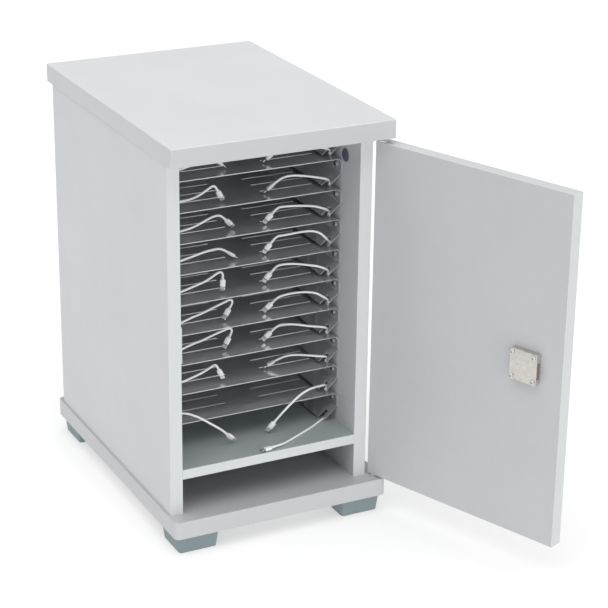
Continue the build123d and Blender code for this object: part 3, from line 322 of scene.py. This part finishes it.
# ---------------------------------------------------------------- leads
# key: (length in metres, control points of the lead's own smooth line)
LEADS = {
    "left_01": (0.0983, [
        (-0.18732, 0.02139, 0.49590), (-0.18732, 0.01239, 0.49590), (-0.18532, 0.00389, 0.49940),
        (-0.18002, -0.00101, 0.50310), (-0.17142, 0.00049, 0.50420), (-0.15982, 0.00269, 0.50540),
        (-0.14582, 0.00449, 0.50770), (-0.13332, 0.00629, 0.51130), (-0.12362, 0.00779, 0.51390),
        (-0.11612, 0.00899, 0.51350), (-0.11072, 0.00999, 0.50900)]),
    "left_02": (0.0988, [
        (-0.18732, 0.02139, 0.45350), (-0.18732, 0.01239, 0.45350), (-0.18532, 0.00389, 0.45700),
        (-0.17962, -0.00111, 0.46160), (-0.17112, -0.00001, 0.46280), (-0.16082, 0.00179, 0.46210),
        (-0.14702, 0.00209, 0.46310), (-0.13442, 0.00189, 0.46770), (-0.12442, 0.00159, 0.47350),
        (-0.11802, 0.00139, 0.47710), (-0.11432, 0.00129, 0.47600), (-0.11252, 0.00169, 0.47270)]),
    "left_03": (0.1127, [
        (-0.18732, 0.02139, 0.41110), (-0.18732, 0.01239, 0.41110), (-0.18532, 0.00389, 0.41460),
        (-0.17972, -0.00101, 0.41900), (-0.17122, 0.00009, 0.42110), (-0.16042, 0.00219, 0.42180),
        (-0.14662, 0.00379, 0.42310), (-0.13242, 0.00569, 0.42710), (-0.11972, 0.00729, 0.43150),
        (-0.11002, 0.00869, 0.43310), (-0.10272, 0.00969, 0.43180), (-0.09762, 0.01049, 0.42680)]),
    "left_04": (0.1140, [
        (-0.18732, 0.02139, 0.36870), (-0.18732, 0.01239, 0.36870), (-0.18532, 0.00389, 0.37220),
        (-0.17952, -0.00111, 0.37730), (-0.17092, -0.00001, 0.37990), (-0.16012, 0.00199, 0.38170),
        (-0.14622, 0.00349, 0.38360), (-0.13302, 0.00449, 0.38610), (-0.12002, 0.00579, 0.38760),
        (-0.10902, 0.00699, 0.38760), (-0.10102, 0.00809, 0.38520), (-0.09542, 0.00899, 0.38110)]),
    "left_05": (0.1116, [
        (-0.18732, 0.02139, 0.32630), (-0.18732, 0.01239, 0.32630), (-0.18532, 0.00389, 0.32980),
        (-0.17962, -0.00111, 0.33510), (-0.17102, -0.00001, 0.33740), (-0.16022, 0.00209, 0.33840),
        (-0.14502, 0.00279, 0.34200), (-0.12882, 0.00349, 0.34570), (-0.11782, 0.00379, 0.35090),
        (-0.10972, 0.00389, 0.35520), (-0.10552, 0.00399, 0.35560), (-0.10282, 0.00399, 0.35290),
        (-0.10282, 0.00409, 0.34920)]),
    "left_06": (0.1319, [
        (-0.18732, 0.02139, 0.28390), (-0.18732, 0.01239, 0.28390), (-0.18532, 0.00389, 0.28740),
        (-0.17962, -0.00111, 0.29220), (-0.17122, -0.00001, 0.29410), (-0.16082, 0.00239, 0.29470),
        (-0.14792, 0.00439, 0.29790), (-0.13322, 0.00669, 0.29990), (-0.11942, 0.00859, 0.30300),
        (-0.10682, 0.01029, 0.30630), (-0.09642, 0.01179, 0.30830), (-0.08922, 0.01279, 0.31040),
        (-0.08532, 0.01329, 0.30900), (-0.08462, 0.01309, 0.30480), (-0.08722, 0.01249, 0.30150)]),
    "left_07": (0.1315, [
        (-0.18732, 0.02139, 0.24150), (-0.18732, 0.01239, 0.24150), (-0.18532, 0.00389, 0.24500),
        (-0.17962, -0.00111, 0.25020), (-0.17152, -0.00001, 0.25430), (-0.16102, 0.00239, 0.25690),
        (-0.14742, 0.00449, 0.25970), (-0.13282, 0.00659, 0.26120), (-0.11842, 0.00859, 0.26450),
        (-0.10582, 0.01029, 0.26700), (-0.09682, 0.01169, 0.26850), (-0.09032, 0.01259, 0.26950),
        (-0.08632, 0.01309, 0.26780), (-0.08562, 0.01279, 0.26370), (-0.08782, 0.01229, 0.26040)]),
    "left_08": (0.0997, [
        (-0.18732, 0.02139, 0.19910), (-0.18732, 0.01239, 0.19910), (-0.18532, 0.00389, 0.20260),
        (-0.17962, -0.00101, 0.20710), (-0.17162, -0.00021, 0.20910), (-0.16182, 0.00149, 0.20940),
        (-0.14882, 0.00169, 0.21280), (-0.13522, 0.00209, 0.21630), (-0.12342, 0.00229, 0.22150),
        (-0.11702, 0.00229, 0.22490), (-0.11312, 0.00239, 0.22360), (-0.11152, 0.00269, 0.22020)]),
    "left_09": (0.1124, [
        (-0.18732, 0.02139, 0.15670), (-0.18732, 0.01239, 0.15670), (-0.18532, 0.00389, 0.16020),
        (-0.17982, -0.00271, 0.16580), (-0.17232, -0.00701, 0.16830), (-0.16342, -0.01131, 0.16840),
        (-0.15282, -0.01571, 0.16460), (-0.14222, -0.01831, 0.15820), (-0.13202, -0.01901, 0.15020),
        (-0.12382, -0.01931, 0.14420), (-0.11622, -0.01961, 0.13830), (-0.11052, -0.01971, 0.13270)]),
    "left_10": (0.0658, [
        (-0.18732, 0.02139, 0.11570), (-0.18732, 0.01239, 0.11570), (-0.18282, 0.00329, 0.11590),
        (-0.17422, -0.00151, 0.11590), (-0.16542, 0.00249, 0.11580), (-0.16222, 0.01169, 0.11580),
        (-0.16202, 0.02129, 0.11610), (-0.16182, 0.03069, 0.11640)]),
    "right_01": (0.1051, [
        (0.05768, 0.02139, 0.49590), (0.05768, 0.01239, 0.49590), (0.05568, 0.00389, 0.49940),
        (0.04998, -0.00151, 0.50480), (0.04258, -0.00071, 0.50760), (0.03018, 0.00129, 0.51010),
        (0.01678, 0.00319, 0.51270), (0.00318, 0.00529, 0.51430), (-0.00922, 0.00669, 0.51390),
        (-0.01762, 0.00799, 0.51220), (-0.02452, 0.00969, 0.50750)]),
    "right_02": (0.1053, [
        (0.05768, 0.02139, 0.45350), (0.05768, 0.01239, 0.45350), (0.05568, 0.00389, 0.45700),
        (0.04998, -0.00151, 0.46240), (0.04358, -0.00101, 0.46550), (0.03168, 0.00069, 0.46850),
        (0.01738, 0.00309, 0.47140), (0.00378, 0.00499, 0.47370), (-0.00762, 0.00639, 0.47380),
        (-0.01722, 0.00719, 0.47160), (-0.02382, 0.00899, 0.46630)]),
    "right_03": (0.1088, [
        (0.05768, 0.02139, 0.41110), (0.05768, 0.01239, 0.41110), (0.05568, 0.00389, 0.41460),
        (0.04998, -0.00151, 0.42000), (0.04178, -0.00101, 0.42430), (0.02988, 0.00049, 0.42850),
        (0.01268, 0.00259, 0.43100), (-0.00342, 0.00429, 0.43220), (-0.01392, 0.00519, 0.43270),
        (-0.02222, 0.00539, 0.43270), (-0.02712, 0.00669, 0.42720)]),
    "right_04": (0.1151, [
        (0.05768, 0.02139, 0.36870), (0.05768, 0.01239, 0.36870), (0.05568, 0.00389, 0.37220),
        (0.04998, -0.00151, 0.37760), (0.04518, -0.00141, 0.38300), (0.03738, -0.00091, 0.39050),
        (0.02618, 0.00069, 0.39440), (0.00878, 0.00269, 0.39430), (-0.00582, 0.00429, 0.39300),
        (-0.01522, 0.00499, 0.39240), (-0.02392, 0.00569, 0.39250), (-0.02872, 0.00699, 0.38610)]),
    "right_05": (0.1110, [
        (0.05768, 0.02139, 0.32630), (0.05768, 0.01239, 0.32630), (0.05568, 0.00389, 0.32980),
        (0.04998, -0.00151, 0.33520), (0.04378, -0.00131, 0.33900), (0.03458, -0.00001, 0.34280),
        (0.02278, 0.00179, 0.34540), (0.00818, 0.00349, 0.34880), (-0.00382, 0.00499, 0.35050),
        (-0.01362, 0.00589, 0.35080), (-0.02282, 0.00669, 0.35010), (-0.02782, 0.00809, 0.34370)]),
    "right_06": (0.1089, [
        (0.05768, 0.02139, 0.28390), (0.05768, 0.01239, 0.28390), (0.05568, 0.00389, 0.28740),
        (0.04998, -0.00151, 0.29280), (0.04318, -0.00101, 0.29770), (0.03418, 0.00019, 0.30380),
        (0.02318, 0.00189, 0.30650), (0.00978, 0.00379, 0.30770), (-0.00382, 0.00549, 0.30720),
        (-0.01232, 0.00649, 0.30600), (-0.01992, 0.00719, 0.30450), (-0.02522, 0.00849, 0.29940)]),
    "right_07": (0.1073, [
        (0.05768, 0.02139, 0.24150), (0.05768, 0.01239, 0.24150), (0.05568, 0.00389, 0.24500),
        (0.04998, -0.00151, 0.25040), (0.04308, -0.00081, 0.25300), (0.03038, 0.00109, 0.25520),
        (0.01648, 0.00319, 0.25840), (0.00238, 0.00519, 0.26190), (-0.01082, 0.00679, 0.26330),
        (-0.02002, 0.00789, 0.26290), (-0.02582, 0.00939, 0.25720)]),
    "right_08": (0.0981, [
        (0.05768, 0.02139, 0.19910), (0.05768, 0.01239, 0.19910), (0.05568, 0.00389, 0.20260),
        (0.04998, -0.00151, 0.20800), (0.04048, 0.00009, 0.20950), (0.02758, 0.00359, 0.21170),
        (0.01358, 0.00699, 0.21390), (0.00118, 0.00979, 0.21490), (-0.01012, 0.01209, 0.21300),
        (-0.01782, 0.01439, 0.20900)]),
    "right_09": (0.1250, [
        (0.05768, 0.02139, 0.15670), (0.05768, 0.01239, 0.15670), (0.05568, 0.00389, 0.16020),
        (0.04998, -0.00151, 0.16550), (0.04168, -0.00431, 0.16680), (0.03078, -0.00851, 0.16860),
        (0.01858, -0.01231, 0.16890), (0.00678, -0.01591, 0.16690), (-0.00322, -0.01811, 0.16220),
        (-0.01192, -0.01871, 0.15590), (-0.02022, -0.01861, 0.14890), (-0.02762, -0.01751, 0.14100),
        (-0.03242, -0.01571, 0.13460)]),
    "right_10": (0.1461, [
        (0.05768, 0.02139, 0.11570), (0.05768, 0.01239, 0.11570), (0.05508, 0.00329, 0.11600),
        (0.04778, -0.00311, 0.11630), (0.03648, -0.01011, 0.11620), (0.02238, -0.01951, 0.11570),
        (0.00548, -0.02871, 0.11560), (-0.01122, -0.03751, 0.11560), (-0.02662, -0.04591, 0.11560),
        (-0.03862, -0.05241, 0.11620), (-0.04822, -0.05691, 0.11770), (-0.05622, -0.05771, 0.11740)]),
}


def lead_curve(name, pts):
    cu = bpy.data.curves.new(name, "CURVE")
    cu.dimensions = "3D"
    cu.resolution_u = 10
    sp = cu.splines.new("NURBS")
    sp.points.add(len(pts) - 1)
    for p, co in zip(sp.points, pts):
        p.co = (co[0], co[1], co[2], 1.0)
    sp.order_u = 3
    sp.use_endpoint_u = True
    cu.bevel_depth = 0.0015
    cu.bevel_resolution = 5
    cu.use_fill_caps = True
    ob = bpy.data.objects.new(name, cu)
    cu.materials.append(M["jacket"])
    scene.collection.objects.link(ob)
    return ob


def outline(w, h, r, n=7):
    """A rounded rectangle's points, always the same count, mm."""
    r = min(r, w / 2, h / 2)
    pts = []
    for cx, cy, a0 in ((w / 2 - r, h / 2 - r, 0), (-w / 2 + r, h / 2 - r, 90), (-w / 2 + r, -h / 2 + r, 180), (w / 2 - r, -h / 2 + r, 270)):
        for k in range(n):
            a = math.radians(a0 + 90.0 * k / (n - 1))
            pts.append((cx + r * math.cos(a), cy + r * math.sin(a)))
    return pts


def loft_rings(bm, place, rings, mat_index):
    rows = []
    for t, w, h, r in rings:
        rows.append([bm.verts.new(place(x, y, t)) for x, y in outline(w, h, r)])
    for a, b in zip(rows, rows[1:]):
        k = len(a)
        for i in range(k):
            f = bm.faces.new((a[i], a[(i + 1) % k], b[(i + 1) % k], b[i]))
            f.material_index = mat_index
            f.smooth = True
    f = bm.faces.new(list(reversed(rows[0])))
    f.material_index = mat_index
    f = bm.faces.new(rows[-1])
    f.material_index = mat_index


# (distance from the lead's end, width, height, corner radius), mm
SLEEVE = [
    (0.0, 3.10, 3.10, 1.55), (0.20, 3.44, 3.44, 1.72), (0.85, 3.50, 3.50, 1.75), (0.98, 3.16, 3.16, 1.58),
    (1.30, 3.16, 3.16, 1.58), (1.43, 3.60, 3.60, 1.80), (2.08, 3.66, 3.66, 1.83), (2.21, 3.28, 3.28, 1.64),
    (2.53, 3.28, 3.28, 1.64), (2.66, 3.76, 3.76, 1.88), (3.31, 3.84, 3.84, 1.92), (3.44, 3.42, 3.42, 1.71),
    (3.76, 3.42, 3.42, 1.71), (3.89, 3.94, 3.94, 1.97), (4.65, 4.08, 4.06, 2.02), (4.95, 4.16, 4.10, 2.04),
]
BODY = [
    (4.90, 4.6, 3.5, 1.75), (4.98, 5.9, 3.95, 1.97), (5.12, 6.7, 4.20, 2.10), (5.40, 7.25, 4.42, 2.20),
    (5.90, 7.58, 4.54, 2.25), (6.60, 7.68, 4.58, 2.28), (13.4, 7.68, 4.58, 2.28), (13.95, 7.60, 4.52, 2.24),
    (14.30, 7.42, 4.36, 2.16), (14.47, 7.05, 4.02, 1.98), (14.5, 6.8, 3.8, 1.88),
]
TIP = [(14.1, 6.66, 1.5, 0.74), (19.9, 6.66, 1.5, 0.74), (20.35, 6.60, 1.44, 0.70), (20.6, 6.40, 1.28, 0.62), (20.68, 6.1, 1.05, 0.5)]


def phone_plug(name, p, d):
    d = d.normalized()
    if d.z < -0.65:
        side = Vector((0.893, -0.450, 0.0))
        side = (side - d * side.dot(d)).normalized()
    else:
        side = Vector((-d.y, d.x, 0.0)).normalized()
    up = d.cross(side)

    def place(x, y, t):
        return p + (side * x + up * y + d * t) * 0.001

    bm = bmesh.new()
    loft_rings(bm, place, SLEEVE, 0)
    loft_rings(bm, place, BODY, 0)
    loft_rings(bm, place, TIP, 1)
    # insulator and eight contacts on both faces of the tip
    for s in (-1, 1):
        def slab(x0, x1, t0, t1, h0, h1, mi):
            cs = [bm.verts.new(place(x, s * h, t)) for h in (h0, h1) for x, t in ((x0, t0), (x1, t0), (x1, t1), (x0, t1))]
            quads = [(4, 5, 6, 7), (0, 3, 2, 1), (0, 1, 5, 4), (1, 2, 6, 5), (2, 3, 7, 6), (3, 0, 4, 7)]
            for q in quads:
                f = bm.faces.new([cs[i] for i in (q if s > 0 else reversed(q))])
                f.material_index = mi
        slab(-2.75, 2.75, 16.0, 19.6, 0.70, 0.762, 3)
        for k in range(8):
            x = -2.1 + 0.6 * k
            slab(x - 0.19, x + 0.19, 16.3, 19.3, 0.72, 0.775, 2)
    bmesh.ops.recalc_face_normals(bm, faces=bm.faces)
    me = bpy.data.meshes.new(name)
    bm.to_mesh(me)
    bm.free()
    for m in (M["plug"], M["tip"], M["gold"], M["inset"]):
        me.materials.append(m)
    ob = bpy.data.objects.new(name, me)
    scene.collection.objects.link(ob)
    return ob


for key, (length, pts) in LEADS.items():
    side = key.split("_")[0]
    lead = lead_curve("lead_" + key + "_cord", pts)
    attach(lead, "cabinet")
    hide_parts("lead_" + key)
    end, before = Vector(pts[-1]), Vector(pts[-2])
    plug = phone_plug("plug_" + key, end, end - before)
    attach(plug, "cabinet")
    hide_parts("lead_plugs_" + side)

# ---------------------------------------------------------------- floor and light
floor_mesh = bpy.data.meshes.new("floor")
bm = bmesh.new()
R = 45.0
vs = [bm.verts.new(c) for c in ((-R, -R, 0), (R, -R, 0), (R, R, 0), (-R, R, 0))]
bm.faces.new(vs)
bm.to_mesh(floor_mesh)
bm.free()
floor = bpy.data.objects.new("floor", floor_mesh)
floor.location.z = -0.0003
scene.collection.objects.link(floor)
fm, nt, b = new_mat("floor_pale")
fc = noise(nt, coords(nt), 1.5, 2.0)
nt.links.new(ramp(nt, fc, [(0.3, (0.54, 0.54, 0.54)), (0.7, (0.56, 0.56, 0.56))]), b.inputs["Base Color"])
b.inputs["Roughness"].default_value = 0.9
b.inputs["Specular IOR Level"].default_value = 0.1
b.inputs["Emission Color"].default_value = (1.0, 1.0, 1.0, 1.0)
b.inputs["Emission Strength"].default_value = 0.48
floor_mesh.materials.append(fm)

world = bpy.data.worlds.new("studio")
scene.world = world
world.use_nodes = True
bg = world.node_tree.nodes["Background"]
bg.inputs["Color"].default_value = (1.0, 1.0, 1.0, 1.0)
bg.inputs["Strength"].default_value = 0.30


def area(name, loc, target, size, power, size_y=None, col=(1, 1, 1)):
    ld = bpy.data.lights.new(name, "AREA")
    ld.shape = "RECTANGLE"
    ld.size = size
    ld.size_y = size_y or size
    ld.energy = power
    ld.color = col
    ob = bpy.data.objects.new(name, ld)
    ob.location = loc
    ob.rotation_euler = (Vector(target) - Vector(loc)).to_track_quat("-Z", "Y").to_euler()
    scene.collection.objects.link(ob)
    return ob


def soft_sun(name, direction, strength, angle, col=(1, 1, 1)):
    ld = bpy.data.lights.new(name, "SUN")
    ld.energy = strength
    ld.angle = math.radians(angle)
    ld.color = col
    ob = bpy.data.objects.new(name, ld)
    ob.rotation_euler = Vector(direction).to_track_quat("-Z", "Y").to_euler()
    scene.collection.objects.link(ob)
    return ob


soft_sun("overhead", (0.12, 0.12, -1.0), 2.30, 75.0)
soft_sun("left", (1.0, 0.10, -0.45), 0.30, 50.0)
soft_sun("front", (-0.12, 1.0, -0.10), 1.0, 40.0)
